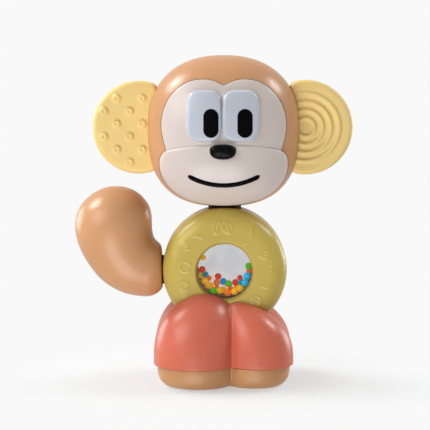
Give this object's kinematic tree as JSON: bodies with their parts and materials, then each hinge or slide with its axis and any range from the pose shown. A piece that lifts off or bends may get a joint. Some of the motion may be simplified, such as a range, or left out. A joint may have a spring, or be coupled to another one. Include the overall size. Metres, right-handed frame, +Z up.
{
  "type": "stacking monkey rattle",
  "caption": "Stacking monkey baby rattle: a head with teether ears, a bead-filled ring, a curled tail and trousers on a flat sole, held together by magnets.",
  "frame": {"origin": "middle of the sole's flat underside, on the surface the toy stands on", "axes": "+Z up; the face looks along -Y; +X is to the right seen from the front, and the tail is on the -X side"},
  "size_m": [0.138, 0.0712, 0.1625],
  "materials": {
    "tan_plastic": "fine moulded satin",
    "cream_plastic": "fine moulded satin",
    "eye_white": "fine moulded satin",
    "black_plastic": "gloss",
    "ear_rubber": "silky matt soft rubber",
    "olive_plastic": "fine moulded satin",
    "coral_plastic": "fine moulded satin",
    "sole_plastic": "fine moulded satin",
    "dark_hub": "matt",
    "magnet": "nickel plated",
    "clear_plastic": "clear polished",
    "bead_red": "gloss",
    "bead_orange": "gloss",
    "bead_amber": "gloss",
    "bead_green": "gloss",
    "bead_blue": "gloss",
    "bead_cyan": "gloss",
    "bead_teal": "gloss"
  },
  "bodies": {
    "legs": {"trousers": "coral_plastic", "sole": "sole_plastic", "saddle_magnet": "magnet"},
    "ring": {"bead_chamber_back": "clear_plastic", "bead_chamber_front": "clear_plastic", "ring_back_shell": "olive_plastic", "ring_front_shell": "olive_plastic", "ring_neck_magnet": "magnet", "ring_seat_magnet": "magnet", "ring_tail_magnet": "magnet"},
    "front_beads": {"bead_front_1": "bead_amber", "bead_front_2": "bead_amber", "bead_front_3": "bead_green", "bead_front_4": "bead_amber", "bead_front_5": "bead_orange", "bead_front_6": "bead_amber", "bead_front_7": "bead_amber", "bead_front_8": "bead_cyan", "bead_front_9": "bead_cyan"},
    "middle_beads": {"bead_middle_1": "bead_amber", "bead_middle_10": "bead_teal", "bead_middle_11": "bead_red", "bead_middle_12": "bead_green", "bead_middle_2": "bead_red", "bead_middle_3": "bead_teal", "bead_middle_4": "bead_orange", "bead_middle_5": "bead_red", "bead_middle_6": "bead_orange", "bead_middle_7": "bead_blue", "bead_middle_8": "bead_green", "bead_middle_9": "bead_red"},
    "back_beads": {"bead_back_1": "bead_amber", "bead_back_10": "bead_orange", "bead_back_11": "bead_amber", "bead_back_2": "bead_red", "bead_back_3": "bead_amber", "bead_back_4": "bead_orange", "bead_back_5": "bead_amber", "bead_back_6": "bead_orange", "bead_back_7": "bead_amber", "bead_back_8": "bead_green", "bead_back_9": "bead_cyan"},
    "neck": {"neck_hub": "dark_hub", "neck_magnet": "magnet"},
    "head": {"ear_left": "ear_rubber", "ear_right": "ear_rubber", "eye_plate_left": "eye_white", "eye_plate_right": "eye_white", "face_plate": "cream_plastic", "head_back_shell": "tan_plastic", "head_front_shell": "tan_plastic", "muzzle": "cream_plastic", "nose": "black_plastic", "pupil_left": "black_plastic", "pupil_right": "black_plastic", "smile": "black_plastic"},
    "tail_mount": {"tail_hub": "dark_hub", "tail_magnet": "magnet"},
    "tail": {"tail_front_shell": "tan_plastic", "tail_back_shell": "tan_plastic"}
  },
  "joints": [
    {"name": "ring_lift", "type": "slide", "parent": "legs", "child": "ring", "axis": [0, 0, 1], "range_m": [0, 0.05]},
    {"name": "neck_lift", "type": "slide", "parent": "ring", "child": "neck", "axis": [0, 0, 1], "range_m": [0, 0.05]},
    {"name": "head_turn", "type": "hinge", "parent": "neck", "child": "head", "pos_m": [0.0006, 0, 0.09], "axis": [0, 0, 1], "continuous": true},
    {"name": "tail_pull", "type": "slide", "parent": "ring", "child": "tail_mount", "axis": [-1, 0, 0], "range_m": [0, 0.05]},
    {"name": "tail_turn", "type": "hinge", "parent": "tail_mount", "child": "tail", "pos_m": [-0.031, 0, 0.0556], "axis": [1, 0, 0], "continuous": true},
    {"name": "front_beads_tumble", "type": "hinge", "parent": "ring", "child": "front_beads", "pos_m": [0.0006, 0, 0.0566], "axis": [0, 1, 0], "continuous": true},
    {"name": "middle_beads_tumble", "type": "hinge", "parent": "ring", "child": "middle_beads", "pos_m": [0.0006, 0, 0.0566], "axis": [0, 1, 0], "continuous": true},
    {"name": "back_beads_tumble", "type": "hinge", "parent": "ring", "child": "back_beads", "pos_m": [0.0006, 0, 0.0566], "axis": [0, 1, 0], "continuous": true}
  ]
}
